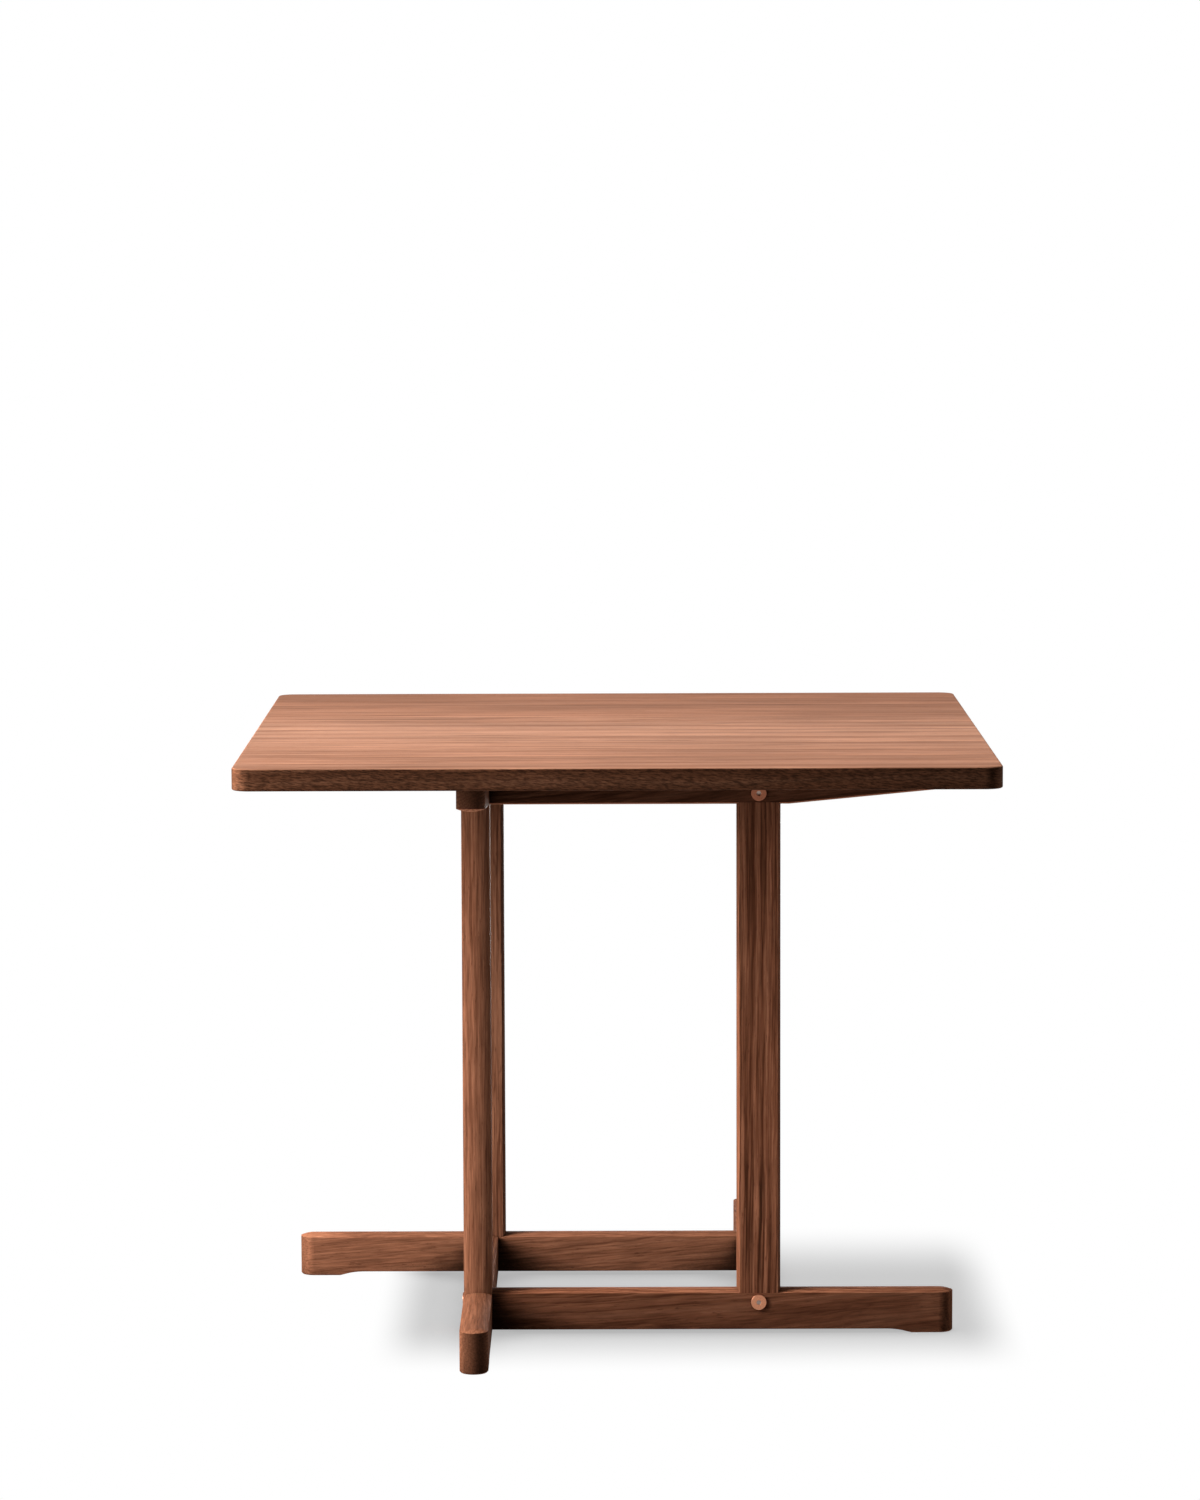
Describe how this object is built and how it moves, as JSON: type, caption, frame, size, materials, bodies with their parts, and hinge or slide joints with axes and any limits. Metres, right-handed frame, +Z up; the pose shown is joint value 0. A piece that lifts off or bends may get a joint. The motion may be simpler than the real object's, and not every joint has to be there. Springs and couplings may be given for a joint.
{
  "type": "square dining table",
  "caption": "Square solid-wood dining table on a pinwheel base of bolted frames, each a runner, a post and a tapered bearer under the top.",
  "frame": {"origin": "on the floor under the middle of the square top", "axes": "+Z up; +X along the front frame towards its tip; -Y towards the side that the picture shows"},
  "size_m": [0.852, 0.852, 0.689],
  "materials": {
    "top_wood": "oiled satin",
    "frame_wood": "oiled satin",
    "copper": "turned, copper-coloured, satin",
    "steel": "zinc plated"
  },
  "bodies": {
    "root": {"top_stave_01": "top_wood", "top_stave_02": "top_wood", "top_stave_03": "top_wood", "top_stave_04": "top_wood", "top_stave_05": "top_wood", "top_stave_06": "top_wood", "top_stave_07": "top_wood", "top_stave_08": "top_wood", "top_stave_09": "top_wood", "top_stave_10": "top_wood", "top_stave_11": "top_wood", "top_stave_12": "top_wood", "front_runner": "frame_wood", "front_post": "frame_wood", "front_bearer": "frame_wood", "left_runner": "frame_wood", "left_post": "frame_wood", "left_bearer": "frame_wood", "back_runner": "frame_wood", "back_post": "frame_wood", "back_bearer": "frame_wood", "right_runner": "frame_wood", "right_post": "frame_wood", "right_bearer": "frame_wood", "runner_bolts": "copper", "bearer_bolts": "copper", "runner_barrel_nuts": "steel", "bearer_barrel_nuts": "steel", "outer_top_screws": "steel", "inner_top_screws": "steel"}
  },
  "joints": []
}
